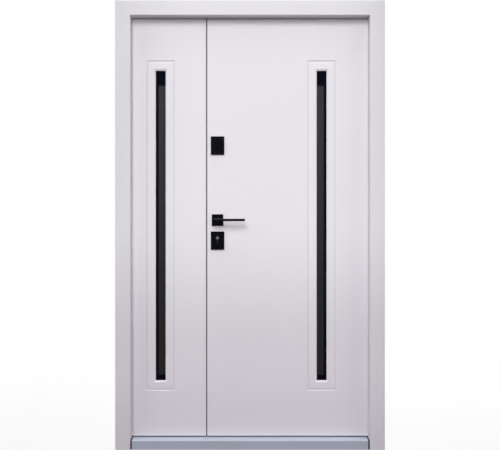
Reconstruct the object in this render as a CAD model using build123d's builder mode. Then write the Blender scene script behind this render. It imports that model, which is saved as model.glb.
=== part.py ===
"""A white entrance door with one and a half leaves, in its frame.

Seen from outside, +X is to the right and +Z is up. The outside lies towards -Y and the leaves
open inwards, towards +Y. The origin is at the middle of the sill's underside. All sizes are in
millimetres.
"""
import os

from build123d import *

os.makedirs("parts", exist_ok=True)

# Frame members
FRAME_WIDTH = 1230
FRAME_HEIGHT = 2050
FRAME_FACE = 69
STOP_DEPTH = 45
STOP_OVERLAP = 18
FRAME_EDGE_RADIUS = 4
ANCHOR_DIAMETER = 10.5
ANCHOR_HEIGHTS = (420, 1640)
ANCHOR_INSET = 28

# Leaves
LEAF_CLEARANCE = 5
PANEL_THICKNESS = 8
CORE_THICKNESS = 40
SEAL_GAP = 5
LEAF_EDGE_CHAMFER = 1.2
MEETING_X = -200.7
MEETING_GAP = 5
ACTIVE_BEVEL = 8
PASSIVE_BEVEL = 4

# Threshold
THRESHOLD_HEIGHT = 45
THRESHOLD_FALL = 3.5
THRESHOLD_SIDE_GAP = 7
THRESHOLD_SETBACK = 2
THRESHOLD_SHEET = 3
THRESHOLD_NOSE_RADIUS = 2
THRESHOLD_GAP = 5
SILL_BAR_HEIGHT = 18

# Stop seals
SEAL_WIDTH = 8
SEAL_INSET = 4
SEAL_CLEARANCE = 0.3
SEAL_ROUNDING = 2

# Glazing and its routed surround
ACTIVE_GLASS_X = 331.5
PASSIVE_GLASS_X = -413.3
GLASS_Z = 1022.5
GLASS_WIDTH = 46
GLASS_HEIGHT = 1433
OUTLINE_WIDTH = 133
OUTLINE_HEIGHT = 1528
GROOVE_WIDTH = 12.5
GROOVE_DEPTH = 2.6
GROOVE_FALL = 4.5
BAND_SET_DOWN = 0.8
LIP_WIDTH = 1
SPLAY_WIDTH = 8.5
SPLAY_DEPTH = 3.6
PANE_THICKNESS = 4
PANE_BITE = 12
SPACER_WIDTH = 9
GLAZING_CLEARANCE = 0.5

# Hinges
HINGE_OFFSET = 10
HINGE_LENGTH = 120
HINGE_END_DISTANCE = 190
KNUCKLE_RADIUS = 8
KNUCKLE_GAP = 0.5
MIDDLE_KNUCKLE = 56
HINGE_PLATE_WIDTH = 32
HINGE_PLATE_THICKNESS = 4
HINGE_PLATE_INSET = 7
HINGE_ARM_WIDTH = 7
HINGE_ARM_INSET = 3.5
HINGE_ARM_RISE = 3
HINGE_PIN_RADIUS = 4
HINGE_PIN_CLEARANCE = 0.2
HINGE_CAP_THICKNESS = 3

# Lever set and lock plates
LOCK_X = -150
LEVER_Z = 1048
ROSE_SIZE = 53
ROSE_THICKNESS = 9
PLATE_WIDTH = 62
PLATE_HEIGHT = 84
PLATE_THICKNESS = 8
UPPER_PLATE_Z = 1392
LOWER_PLATE_Z = 953
HARDWARE_CHAMFER = 1
NECK_RADIUS = 9.5
NECK_CLEARANCE = 0.5
LEVER_STANDOFF = 46
LEVER_DEPTH = 16
LEVER_THICKNESS = 11
LEVER_REACH = 127
LEVER_HEEL = 18
SPINDLE_SIZE = 8
SPINDLE_ENGAGEMENT = 30
SPINDLE_BORE = 24
CYLINDER_Z = 965
CYLINDER_DIAMETER = 17
CYLINDER_TAIL_WIDTH = 10
CYLINDER_DROP = 24.5
CYLINDER_PROUD = 3
CYLINDER_CLEARANCE = 0.4
COVER_GRIP_WIDTH = 18
COVER_GRIP_HEIGHT = 6
COVER_GRIP_DEPTH = 2

# Edge hardware of the meeting stiles
FOREND_WIDTH = 20
FOREND_THICKNESS = 3
FOREND_MARGIN = 150
BOLT_THICKNESS = 12
BOLT_LENGTH = 28
BOLT_HEIGHT = 34
LATCH_HEIGHT = 22
BOLT_CLEARANCE = 0.3
FLUSH_BOLT_LENGTH = 180
FLUSH_BOLT_END = 60

# Places that follow from the sizes above
LEAF_THICKNESS = 2 * PANEL_THICKNESS + CORE_THICKNESS
FRAME_DEPTH = STOP_DEPTH + SEAL_GAP + LEAF_THICKNESS
FRAME_FRONT = -FRAME_DEPTH / 2
FRAME_BACK = FRAME_DEPTH / 2
STOP_BACK = FRAME_FRONT + STOP_DEPTH
LEAF_FRONT = STOP_BACK + SEAL_GAP
LEAF_BACK = LEAF_FRONT + LEAF_THICKNESS
CORE_FRONT = LEAF_FRONT + PANEL_THICKNESS
CORE_BACK = CORE_FRONT + CORE_THICKNESS
STOP_X = FRAME_WIDTH / 2 - FRAME_FACE
LEAF_EDGE_X = STOP_X + STOP_OVERLAP
REBATE_X = LEAF_EDGE_X + LEAF_CLEARANCE
STOP_Z = FRAME_HEIGHT - FRAME_FACE
LEAF_TOP = STOP_Z + STOP_OVERLAP
REBATE_Z = LEAF_TOP + LEAF_CLEARANCE
LEAF_BOTTOM = THRESHOLD_HEIGHT + THRESHOLD_GAP
LEAF_HEIGHT = LEAF_TOP - LEAF_BOTTOM
HINGE_X = LEAF_EDGE_X + LEAF_CLEARANCE / 2
HINGE_Y = LEAF_BACK + HINGE_OFFSET
HINGE_HEIGHTS = (
    LEAF_BOTTOM + HINGE_END_DISTANCE,
    (LEAF_BOTTOM + LEAF_TOP) / 2,
    LEAF_TOP - HINGE_END_DISTANCE,
)
OUTER_KNUCKLE = (HINGE_LENGTH - MIDDLE_KNUCKLE) / 2 - KNUCKLE_GAP
ANCHOR_Y = FRAME_BACK - ANCHOR_INSET
THRESHOLD_FRONT = FRAME_FRONT + THRESHOLD_SETBACK
THRESHOLD_DEPTH = FRAME_BACK - THRESHOLD_FRONT
THRESHOLD_LENGTH = 2 * (STOP_X - THRESHOLD_SIDE_GAP)
SEAL_LOW = STOP_X + SEAL_INSET
SEAL_DEPTH = SEAL_GAP - SEAL_CLEARANCE
UNIT_WIDTH = GLASS_WIDTH + 2 * PANE_BITE
UNIT_HEIGHT = GLASS_HEIGHT + 2 * PANE_BITE
FOREND_LOW = LOWER_PLATE_Z - FOREND_MARGIN
FOREND_LENGTH = UPPER_PLATE_Z + FOREND_MARGIN - FOREND_LOW
FLUSH_BOLT_FEET = (
    LEAF_BOTTOM + FLUSH_BOLT_END,
    LEAF_TOP - FLUSH_BOLT_END - FLUSH_BOLT_LENGTH,
)
BOLT_HEIGHTS = {"upper_bolt": UPPER_PLATE_Z, "latch": LEVER_Z, "lower_bolt": LOWER_PLATE_Z}

# Each leaf: the side its hinges are on, its meeting edge at the front, that edge's bevel, its glass
LEAVES = {
    "active": (1, MEETING_X + MEETING_GAP / 2, ACTIVE_BEVEL, ACTIVE_GLASS_X),
    "passive": (-1, MEETING_X - MEETING_GAP / 2, PASSIVE_BEVEL, PASSIVE_GLASS_X),
}

# Start and length of the knuckles on each half of a hinge, from its middle
KNUCKLES = {
    "frame": ((-HINGE_LENGTH / 2, OUTER_KNUCKLE), (HINGE_LENGTH / 2 - OUTER_KNUCKLE, OUTER_KNUCKLE)),
    "leaf": ((-MIDDLE_KNUCKLE / 2, MIDDLE_KNUCKLE),),
}

# Rectangles of the glazing surround from its outline to the pane: width, height, depth in the panel
OUTLINE = (OUTLINE_WIDTH, OUTLINE_HEIGHT, 0)
GROOVE_FLOOR = (OUTLINE_WIDTH - 2 * GROOVE_FALL, OUTLINE_HEIGHT - 2 * GROOVE_FALL, GROOVE_DEPTH)
BAND_FOOT = (OUTLINE_WIDTH - 2 * GROOVE_WIDTH, OUTLINE_HEIGHT - 2 * GROOVE_WIDTH, BAND_SET_DOWN)
LIP = (
    GLASS_WIDTH + 2 * (SPLAY_WIDTH + LIP_WIDTH),
    GLASS_HEIGHT + 2 * (SPLAY_WIDTH + LIP_WIDTH),
    0,
)
SPLAY_RIM = (GLASS_WIDTH + 2 * SPLAY_WIDTH, GLASS_HEIGHT + 2 * SPLAY_WIDTH, 0)
SPLAY_FOOT = (GLASS_WIDTH, GLASS_HEIGHT, SPLAY_DEPTH)

# Mitred faces of the surround: the fall of the groove, its rise, the band and the splay at the glass
SURROUND_FACES = (
    (OUTLINE, GROOVE_FLOOR, Mode.SUBTRACT),
    (GROOVE_FLOOR, BAND_FOOT, Mode.ADD),
    (BAND_FOOT, LIP, Mode.ADD),
    (SPLAY_RIM, SPLAY_FOOT, Mode.SUBTRACT),
)


def save(piece, name):
    """Label a finished piece and write it."""
    piece.part.label = name
    export_step(piece.part, f"parts/{name}.step")


def upright_plane(y):
    """A plane across the door at depth y, with its own axes along +X and +Z."""
    return Plane.XZ.offset(-y)


def meeting_edge(leaf, y):
    """X of a leaf's bevelled meeting edge at depth y."""
    side, front_x, bevel, _ = LEAVES[leaf]
    return front_x + side * bevel * (y - LEAF_FRONT) / LEAF_THICKNESS


def slab_plan(leaf, front, back):
    """Plan corners of a layer of a leaf between two depths."""
    hinge_edge = LEAVES[leaf][0] * LEAF_EDGE_X
    return (
        (meeting_edge(leaf, front), front),
        (hinge_edge, front),
        (hinge_edge, back),
        (meeting_edge(leaf, back), back),
    )


def edge_plan(leaf, width, depth):
    """Plan corners of a strip let into the meeting edge, in the middle of the core."""
    side = LEAVES[leaf][0]
    front = (CORE_FRONT + CORE_BACK - width) / 2
    back = front + width
    return (
        (meeting_edge(leaf, front), front),
        (meeting_edge(leaf, front) + side * depth, front),
        (meeting_edge(leaf, back) + side * depth, back),
        (meeting_edge(leaf, back), back),
    )


def threshold_section(inset):
    """Corners of the threshold's section in Y and Z, drawn in by an inset from all but its foot."""
    return (
        (THRESHOLD_FRONT + inset, 0),
        (THRESHOLD_FRONT + inset, THRESHOLD_HEIGHT - THRESHOLD_FALL - inset),
        (LEAF_FRONT, THRESHOLD_HEIGHT - inset),
        (FRAME_BACK - inset, THRESHOLD_HEIGHT - inset),
        (FRAME_BACK - inset, 0),
    )


def cylinder_section(clearance):
    """Draw the profile cylinder's section, with room round it, in the sketch at hand."""
    with Locations((LOCK_X, CYLINDER_Z)):
        Circle(CYLINDER_DIAMETER / 2 + clearance)
        Rectangle(
            CYLINDER_TAIL_WIDTH + 2 * clearance,
            CYLINDER_DROP + clearance,
            align=(Align.CENTER, Align.MAX),
        )


def lock_ways():
    """Draw the ways through the leaf for the spindle and the cylinder."""
    with Locations((LOCK_X, LEVER_Z)):
        Circle(SPINDLE_BORE / 2)
    cylinder_section(CYLINDER_CLEARANCE)


def bolt_height(name):
    """Height of a bolt or of the latch, seen on the meeting edge."""
    return LATCH_HEIGHT if name == "latch" else BOLT_HEIGHT


# Jambs: a stop in front and a rebate behind it, mitred at the head
for side, name in ((1, "right_jamb"), (-1, "left_jamb")):
    with BuildPart() as jamb:
        with BuildSketch() as jamb_plan:
            with BuildLine():
                Polyline(
                    (side * FRAME_WIDTH / 2, FRAME_FRONT),
                    (side * STOP_X, FRAME_FRONT),
                    (side * STOP_X, STOP_BACK),
                    (side * REBATE_X, STOP_BACK),
                    (side * REBATE_X, FRAME_BACK),
                    (side * FRAME_WIDTH / 2, FRAME_BACK),
                    close=True,
                )
            make_face()
            fillet(jamb_plan.vertices().group_by(Axis.Y)[0], FRAME_EDGE_RADIUS)
        extrude(amount=FRAME_HEIGHT)
        split(
            bisect_by=Plane(origin=(side * STOP_X, 0, STOP_Z), z_dir=(side, 0, -1)),
            keep=Keep.TOP,
        )
        with BuildSketch(Plane.YZ.offset(side * REBATE_X)):
            with Locations(*[(ANCHOR_Y, height) for height in ANCHOR_HEIGHTS]):
                Circle(ANCHOR_DIAMETER / 2)
        extrude(amount=side * (FRAME_WIDTH / 2 - REBATE_X), mode=Mode.SUBTRACT)
    save(jamb, name)

# Head: the same profile on its side, mitred at both ends
with BuildPart() as head:
    with BuildSketch(Plane.YZ.offset(-FRAME_WIDTH / 2)) as head_section:
        with BuildLine():
            Polyline(
                (FRAME_FRONT, FRAME_HEIGHT),
                (FRAME_FRONT, STOP_Z),
                (STOP_BACK, STOP_Z),
                (STOP_BACK, REBATE_Z),
                (FRAME_BACK, REBATE_Z),
                (FRAME_BACK, FRAME_HEIGHT),
                close=True,
            )
        make_face()
        fillet(head_section.vertices().group_by(Axis.X)[0], FRAME_EDGE_RADIUS)
    extrude(amount=FRAME_WIDTH)
    for side in (1, -1):
        split(
            bisect_by=Plane(origin=(side * STOP_X, 0, STOP_Z), z_dir=(-side, 0, 1)),
            keep=Keep.TOP,
        )
save(head, "frame_head")

# Sill: a low bar between the jambs, with a narrower block that carries the threshold
with BuildPart() as sill:
    with BuildSketch() as sill_plan:
        with BuildLine():
            Polyline(
                (-STOP_X, THRESHOLD_FRONT + THRESHOLD_SHEET),
                (STOP_X, THRESHOLD_FRONT + THRESHOLD_SHEET),
                (STOP_X, STOP_BACK),
                (REBATE_X, STOP_BACK),
                (REBATE_X, FRAME_BACK),
                (-REBATE_X, FRAME_BACK),
                (-REBATE_X, STOP_BACK),
                (-STOP_X, STOP_BACK),
                close=True,
            )
        make_face()
    extrude(amount=SILL_BAR_HEIGHT)
    with BuildSketch(Plane.YZ.offset(THRESHOLD_SHEET - THRESHOLD_LENGTH / 2)):
        with BuildLine():
            Polyline(*threshold_section(THRESHOLD_SHEET), close=True)
        make_face()
    extrude(amount=THRESHOLD_LENGTH - 2 * THRESHOLD_SHEET)
save(sill, "frame_sill")

# Threshold: a folded metal cover over the sill, its top falling to a front lip that reaches the ground
with BuildPart() as threshold:
    with BuildSketch(Plane.YZ.offset(-THRESHOLD_LENGTH / 2)) as cover_section:
        with BuildLine():
            Polyline(*threshold_section(0), close=True)
        make_face()
        fillet(cover_section.vertices().group_by(Axis.X)[0].sort_by(Axis.Y)[-1], THRESHOLD_NOSE_RADIUS)
    extrude(amount=THRESHOLD_LENGTH)
    with BuildSketch(Plane.YZ.offset(THRESHOLD_SHEET - THRESHOLD_LENGTH / 2)):
        with BuildLine():
            Polyline(*threshold_section(THRESHOLD_SHEET), close=True)
        make_face()
    extrude(amount=THRESHOLD_LENGTH - 2 * THRESHOLD_SHEET, mode=Mode.SUBTRACT)
    with BuildSketch():
        with Locations((0, THRESHOLD_FRONT + THRESHOLD_SHEET)):
            Rectangle(THRESHOLD_LENGTH, THRESHOLD_DEPTH, align=(Align.CENTER, Align.MIN))
    extrude(amount=SILL_BAR_HEIGHT, mode=Mode.SUBTRACT)
save(threshold, "threshold_plate")

# Stop seals: a rubber strip behind each stop, just clear of the closed leaf
for side, name in ((1, "right_stop_seal"), (-1, "left_stop_seal")):
    with BuildPart() as seal:
        with BuildSketch(Plane.XY.offset(THRESHOLD_HEIGHT)) as seal_plan:
            with Locations((side * (SEAL_LOW + SEAL_WIDTH / 2), STOP_BACK)):
                Rectangle(SEAL_WIDTH, SEAL_DEPTH, align=(Align.CENTER, Align.MIN))
            fillet(seal_plan.vertices().group_by(Axis.Y)[-1], SEAL_ROUNDING)
        extrude(amount=STOP_Z + SEAL_INSET + SEAL_WIDTH - THRESHOLD_HEIGHT)
    save(seal, name)

with BuildPart() as head_seal:
    with BuildSketch(Plane.YZ.offset(-SEAL_LOW)) as seal_section:
        with Locations((STOP_BACK, STOP_Z + SEAL_INSET + SEAL_WIDTH / 2)):
            Rectangle(SEAL_DEPTH, SEAL_WIDTH, align=(Align.MIN, Align.CENTER))
        fillet(seal_section.vertices().group_by(Axis.X)[-1], SEAL_ROUNDING)
    extrude(amount=2 * SEAL_LOW)
save(head_seal, "head_stop_seal")

# Hinges: a frame half with the outer knuckles, a leaf half with the middle one, and a capped pin
for side, hand in ((1, "right"), (-1, "left")):
    axis_x = side * HINGE_X
    for half, away in (("frame", side), ("leaf", -side)):
        plate_align = (Align.MIN if away > 0 else Align.MAX, Align.MIN)
        with BuildPart() as hinge_half:
            for height in HINGE_HEIGHTS:
                with BuildSketch(Plane.XY.offset(height - HINGE_LENGTH / 2)):
                    with Locations((axis_x + away * HINGE_PLATE_INSET, LEAF_BACK)):
                        Rectangle(HINGE_PLATE_WIDTH, HINGE_PLATE_THICKNESS, align=plate_align)
                extrude(amount=HINGE_LENGTH)
                for start, length in KNUCKLES[half]:
                    with BuildSketch(Plane.XY.offset(height + start)):
                        with Locations((axis_x + away * HINGE_ARM_INSET, LEAF_BACK)):
                            Rectangle(
                                HINGE_ARM_WIDTH,
                                HINGE_OFFSET + HINGE_ARM_RISE,
                                align=plate_align,
                            )
                        with Locations((axis_x, HINGE_Y)):
                            Circle(KNUCKLE_RADIUS)
                            Circle(HINGE_PIN_RADIUS + HINGE_PIN_CLEARANCE, mode=Mode.SUBTRACT)
                    extrude(amount=length)
        save(hinge_half, f"{hand}_{half}_hinges")

    with BuildPart() as hinge_pins:
        for height in HINGE_HEIGHTS:
            with BuildSketch(Plane.XY.offset(height - HINGE_LENGTH / 2)):
                with Locations((axis_x, HINGE_Y)):
                    Circle(HINGE_PIN_RADIUS)
            extrude(amount=HINGE_LENGTH)
            for end, out in ((HINGE_LENGTH / 2, 1), (-HINGE_LENGTH / 2, -1)):
                with BuildSketch(Plane.XY.offset(height + end)):
                    with Locations((axis_x, HINGE_Y)):
                        Circle(KNUCKLE_RADIUS)
                extrude(amount=out * HINGE_CAP_THICKNESS)
    save(hinge_pins, f"{hand}_hinge_pins")

# Leaves: a panel with a routed glazing surround on each side of a steel-edged core
for leaf, (side, _, _, glass_x) in LEAVES.items():
    glass_centre = (glass_x, GLASS_Z)
    has_lock = leaf == "active"

    for layer, face, inward in (
        ("outer_panel", LEAF_FRONT, 1),
        ("inner_panel", LEAF_BACK, -1),
    ):
        back = face + inward * PANEL_THICKNESS
        with BuildPart() as panel:
            with BuildSketch(Plane.XY.offset(LEAF_BOTTOM)):
                with BuildLine():
                    Polyline(*slab_plan(leaf, face, back), close=True)
                make_face()
            extrude(amount=LEAF_HEIGHT)
            chamfer(
                panel.faces().sort_by(Axis.Y)[0 if inward > 0 else -1].edges(),
                LEAF_EDGE_CHAMFER,
            )
            for outer, inner, mode in SURROUND_FACES:
                for width, height, depth in (outer, inner):
                    with BuildSketch(upright_plane(face + inward * depth)):
                        with Locations(glass_centre):
                            Rectangle(width, height)
                loft(mode=mode)
            # the opening for the pane, and the ways through for the locks
            with BuildSketch(upright_plane(face)):
                with Locations(glass_centre):
                    Rectangle(GLASS_WIDTH, GLASS_HEIGHT)
                if has_lock:
                    lock_ways()
            extrude(amount=-inward * PANEL_THICKNESS, mode=Mode.SUBTRACT)
        save(panel, f"{leaf}_{layer}")

    with BuildPart() as core:
        with BuildSketch(Plane.XY.offset(LEAF_BOTTOM)):
            with BuildLine():
                Polyline(*slab_plan(leaf, CORE_FRONT, CORE_BACK), close=True)
            make_face()
        extrude(amount=LEAF_HEIGHT)
        with BuildSketch(upright_plane(CORE_FRONT)):
            with Locations(glass_centre):
                Rectangle(UNIT_WIDTH + 2 * GLAZING_CLEARANCE, UNIT_HEIGHT + 2 * GLAZING_CLEARANCE)
            if has_lock:
                lock_ways()
        extrude(amount=-CORE_THICKNESS, mode=Mode.SUBTRACT)
        # the recess of the lock's forend or of its strike, and of the bolts behind it
        with BuildSketch(Plane.XY.offset(FOREND_LOW)):
            with BuildLine():
                Polyline(*edge_plan(leaf, FOREND_WIDTH, FOREND_THICKNESS), close=True)
            make_face()
        extrude(amount=FOREND_LENGTH, mode=Mode.SUBTRACT)
        for bolt, height in BOLT_HEIGHTS.items():
            pocket = bolt_height(bolt) + 2 * BOLT_CLEARANCE
            with BuildSketch(Plane.XY.offset(height - pocket / 2)):
                with BuildLine():
                    Polyline(
                        *edge_plan(leaf, BOLT_THICKNESS + 2 * BOLT_CLEARANCE, BOLT_LENGTH),
                        close=True,
                    )
                make_face()
            extrude(amount=pocket, mode=Mode.SUBTRACT)
        if not has_lock:
            for low in FLUSH_BOLT_FEET:
                with BuildSketch(Plane.XY.offset(low)):
                    with BuildLine():
                        Polyline(*edge_plan(leaf, FOREND_WIDTH, FOREND_THICKNESS), close=True)
                    make_face()
                extrude(amount=FLUSH_BOLT_LENGTH, mode=Mode.SUBTRACT)
    save(core, f"{leaf}_core")

    # a sealed unit of two panes and a spacer, held between the panels
    with BuildPart() as panes:
        for depth in (CORE_FRONT, CORE_BACK - PANE_THICKNESS):
            with BuildSketch(upright_plane(depth)):
                with Locations(glass_centre):
                    Rectangle(UNIT_WIDTH, UNIT_HEIGHT)
            extrude(amount=-PANE_THICKNESS)
    save(panes, f"{leaf}_glass_panes")

    with BuildPart() as spacer:
        with BuildSketch(upright_plane(CORE_FRONT + PANE_THICKNESS)):
            with Locations(glass_centre):
                Rectangle(UNIT_WIDTH, UNIT_HEIGHT)
                Rectangle(
                    UNIT_WIDTH - 2 * SPACER_WIDTH,
                    UNIT_HEIGHT - 2 * SPACER_WIDTH,
                    mode=Mode.SUBTRACT,
                )
        extrude(amount=-(CORE_THICKNESS - 2 * PANE_THICKNESS))
    save(spacer, f"{leaf}_glass_spacer")

    # the lock's forend on the active leaf, its strike on the passive one
    with BuildPart() as edge_strip:
        with BuildSketch(Plane.XY.offset(FOREND_LOW)):
            with BuildLine():
                Polyline(*edge_plan(leaf, FOREND_WIDTH, FOREND_THICKNESS), close=True)
            make_face()
        extrude(amount=FOREND_LENGTH)
        for bolt, height in BOLT_HEIGHTS.items():
            pocket = bolt_height(bolt) + 2 * BOLT_CLEARANCE
            with BuildSketch(Plane.XY.offset(height - pocket / 2)):
                with BuildLine():
                    Polyline(
                        *edge_plan(leaf, BOLT_THICKNESS + 2 * BOLT_CLEARANCE, BOLT_LENGTH),
                        close=True,
                    )
                make_face()
            extrude(amount=pocket, mode=Mode.SUBTRACT)
    save(edge_strip, "lock_forend" if has_lock else "strike_plate")

# Bolts and latch, drawn back flush with the forend
with BuildPart() as bolts:
    for bolt, height in BOLT_HEIGHTS.items():
        with BuildSketch(Plane.XY.offset(height - bolt_height(bolt) / 2)):
            with BuildLine():
                Polyline(*edge_plan("active", BOLT_THICKNESS, BOLT_LENGTH), close=True)
            make_face()
        extrude(amount=bolt_height(bolt))
save(bolts, "lock_bolts")

# Flush bolts at the top and the foot of the passive leaf's edge
with BuildPart() as flush_bolts:
    for low in FLUSH_BOLT_FEET:
        with BuildSketch(Plane.XY.offset(low)):
            with BuildLine():
                Polyline(*edge_plan("passive", FOREND_WIDTH, FOREND_THICKNESS), close=True)
            make_face()
        extrude(amount=FLUSH_BOLT_LENGTH)
save(flush_bolts, "passive_flush_bolts")

# Lever set and lock plates, the same on both faces of the active leaf
for face, out, place in ((LEAF_FRONT, -1, "outer"), (LEAF_BACK, 1, "inner")):
    for plate_name, height in (("upper", UPPER_PLATE_Z), ("lower", LOWER_PLATE_Z)):
        with BuildPart() as plate:
            with BuildSketch(upright_plane(face)):
                with Locations((LOCK_X, height)):
                    Rectangle(PLATE_WIDTH, PLATE_HEIGHT)
            extrude(amount=-out * PLATE_THICKNESS)
            seat = plate.faces().sort_by(Axis.Y)[-1 if out < 0 else 0]
            chamfer(plate.edges() - seat.edges(), HARDWARE_CHAMFER)
            if plate_name == "upper":
                # the grip of the closed keyhole cover
                with BuildSketch(upright_plane(face + out * (PLATE_THICKNESS - COVER_GRIP_DEPTH))):
                    with Locations((LOCK_X, height)):
                        Rectangle(COVER_GRIP_WIDTH, COVER_GRIP_HEIGHT)
                extrude(amount=-out * COVER_GRIP_DEPTH, mode=Mode.SUBTRACT)
            else:
                with BuildSketch(upright_plane(face)):
                    cylinder_section(CYLINDER_CLEARANCE)
                extrude(amount=-out * PLATE_THICKNESS, mode=Mode.SUBTRACT)
        save(plate, f"{place}_{plate_name}_lock_plate")

    with BuildPart() as rose:
        with BuildSketch(upright_plane(face)):
            with Locations((LOCK_X, LEVER_Z)):
                Rectangle(ROSE_SIZE, ROSE_SIZE)
        extrude(amount=-out * ROSE_THICKNESS)
        seat = rose.faces().sort_by(Axis.Y)[-1 if out < 0 else 0]
        chamfer(rose.edges() - seat.edges(), HARDWARE_CHAMFER)
        with BuildSketch(upright_plane(face)):
            with Locations((LOCK_X, LEVER_Z)):
                Circle(NECK_RADIUS + NECK_CLEARANCE)
        extrude(amount=-out * ROSE_THICKNESS, mode=Mode.SUBTRACT)
    save(rose, f"{place}_lever_rose")

    with BuildPart() as lever:
        with BuildSketch(upright_plane(face + out * LEVER_STANDOFF)):
            with Locations((LOCK_X - LEVER_HEEL, LEVER_Z)):
                Rectangle(
                    LEVER_HEEL + LEVER_REACH,
                    LEVER_THICKNESS,
                    align=(Align.MIN, Align.CENTER),
                )
        extrude(amount=-out * LEVER_DEPTH)
        chamfer(lever.edges(), HARDWARE_CHAMFER)
        with BuildSketch(upright_plane(face + out * NECK_CLEARANCE)):
            with Locations((LOCK_X, LEVER_Z)):
                Circle(NECK_RADIUS)
        extrude(amount=-out * (LEVER_STANDOFF + LEVER_DEPTH / 2 - NECK_CLEARANCE))
        with BuildSketch(upright_plane(face)):
            with Locations((LOCK_X, LEVER_Z)):
                Rectangle(SPINDLE_SIZE, SPINDLE_SIZE)
        extrude(amount=-out * SPINDLE_ENGAGEMENT, mode=Mode.SUBTRACT)
    save(lever, f"{place}_lever")

with BuildPart() as spindle:
    with BuildSketch(upright_plane(LEAF_FRONT - SPINDLE_ENGAGEMENT)):
        with Locations((LOCK_X, LEVER_Z)):
            Rectangle(SPINDLE_SIZE, SPINDLE_SIZE)
    extrude(amount=-(LEAF_THICKNESS + 2 * SPINDLE_ENGAGEMENT))
save(spindle, "lever_spindle")

# Profile cylinder, right through the leaf and a little proud of both lower plates
with BuildPart() as cylinder:
    with BuildSketch(upright_plane(LEAF_FRONT - PLATE_THICKNESS - CYLINDER_PROUD)):
        cylinder_section(0)
    extrude(amount=-(LEAF_THICKNESS + 2 * (PLATE_THICKNESS + CYLINDER_PROUD)))
save(cylinder, "lock_cylinder")
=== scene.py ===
"""Finish, detail and light an entrance door with one wide and one narrow leaf.

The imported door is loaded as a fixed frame. The operators give its pieces their finishes, add the small
pieces that go with them and set the stage. Sizes are in metres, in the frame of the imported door.
"""
import math

import bmesh
import bpy
from bpy.props import FloatProperty, FloatVectorProperty, PointerProperty
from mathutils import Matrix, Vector


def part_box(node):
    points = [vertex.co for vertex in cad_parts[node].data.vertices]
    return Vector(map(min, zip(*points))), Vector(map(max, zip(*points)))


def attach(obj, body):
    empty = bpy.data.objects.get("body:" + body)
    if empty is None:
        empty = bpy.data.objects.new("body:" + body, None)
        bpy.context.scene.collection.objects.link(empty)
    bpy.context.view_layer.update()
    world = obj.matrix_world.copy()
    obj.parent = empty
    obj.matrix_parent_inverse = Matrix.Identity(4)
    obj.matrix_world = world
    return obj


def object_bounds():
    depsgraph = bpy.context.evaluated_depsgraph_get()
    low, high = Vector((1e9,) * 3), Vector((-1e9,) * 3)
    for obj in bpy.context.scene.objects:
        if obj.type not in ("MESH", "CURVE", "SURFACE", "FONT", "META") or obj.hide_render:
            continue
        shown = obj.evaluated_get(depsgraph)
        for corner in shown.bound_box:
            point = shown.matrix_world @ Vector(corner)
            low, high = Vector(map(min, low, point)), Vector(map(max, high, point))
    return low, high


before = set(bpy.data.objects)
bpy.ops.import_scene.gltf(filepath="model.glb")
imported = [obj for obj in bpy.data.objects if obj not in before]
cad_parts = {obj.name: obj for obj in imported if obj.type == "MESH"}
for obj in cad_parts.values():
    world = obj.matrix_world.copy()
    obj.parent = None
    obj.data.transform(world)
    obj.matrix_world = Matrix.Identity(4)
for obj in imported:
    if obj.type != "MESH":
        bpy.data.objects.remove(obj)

bl_info = {
    "name": "Entrance door finishes",
    "version": (1, 0, 0),
    "blender": (4, 5, 0),
    "location": "3D View > Sidebar > Door",
    "description": "Finishes, small pieces and stage of an entrance door with two leaves",
    "category": "Object",
}

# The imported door, as it was loaded
CAD_BOX = [list(corner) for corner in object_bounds()]
FRAME_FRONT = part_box("frame_head")[0].y
FRAME_MIDDLE = (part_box("frame_head")[1].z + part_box("frame_sill")[0].z) / 2

# Each leaf: the side its hinges are on in X, the hand of its hinges, and the strip on its meeting edge
LEAF_SIDES = {"active": 1, "passive": -1}
HINGE_HANDS = {"active": "right", "passive": "left"}
LOCK_STRIPS = {"active": "lock_forend", "passive": "strike_plate"}

# Nodes of each plain finish
FRAME_NODES = ("left_jamb", "right_jamb", "frame_head")
CORE_NODES = ("active_core", "passive_core")
SEAL_NODES = ("left_stop_seal", "right_stop_seal", "head_stop_seal")
SPACER_NODES = ("active_glass_spacer", "passive_glass_spacer")
HINGE_NODES = (
    "left_frame_hinges", "right_frame_hinges", "left_leaf_hinges",
    "right_leaf_hinges", "left_hinge_pins", "right_hinge_pins",
)
STEEL_NODES = ("lock_forend", "strike_plate", "lock_bolts", "passive_flush_bolts", "lever_spindle")
BLACK_NODES = (
    "outer_upper_lock_plate", "outer_lower_lock_plate", "outer_lever_rose",
    "inner_upper_lock_plate", "inner_lower_lock_plate", "inner_lever_rose",
)
LEVER_NODES = ("outer_lever", "inner_lever")

# How the solids are built, for the pieces that are fitted to them
PANE_BITE = 0.012
GROOVE_DEPTH = 0.0026
SILL_HEIGHT = 0.018
THRESHOLD_FALL = 0.0035
LEVER_THICKNESS = 0.011
HINGE_LENGTH = 0.120
HINGE_PLATE_WIDTH = 0.032
HINGE_PLATE_THICKNESS = 0.004
HINGE_PLATE_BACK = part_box("active_inner_panel")[1].y + HINGE_PLATE_THICKNESS
SAME_PLACE = 1e-5

# Painted shade along the floor of a groove: where it begins and ends to fade, its share and how dark it is
GROOVE_SHADE_FADE = (0.001, 0.0042)
GROOVE_SHADE_SHARE = 0.21
GROOVE_SHADE_TINT = 0.45

# Painted highlight along the top of the lever: its height, the softness of its edges and its grey
LEVER_HIGHLIGHT_HEIGHT = 0.0024
LEVER_HIGHLIGHT_EDGE = 0.0004
LEVER_HIGHLIGHT_GREY = (0.07, 0.07, 0.073, 1)

# Painted light on the top of the threshold: how much brighter it is, and how softly it begins
LIT_TOP_TINT = 1.50
LIT_TOP_START = -0.001
LIT_TOP_END = 0.0005

# Brush lines: how often they change along each axis
BRUSHED_LENGTHWAYS = (3, 900, 900)
BRUSHED_UPRIGHT = (700, 700, 4)
BRUSHED_EVENLY = (500, 500, 500)
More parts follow.
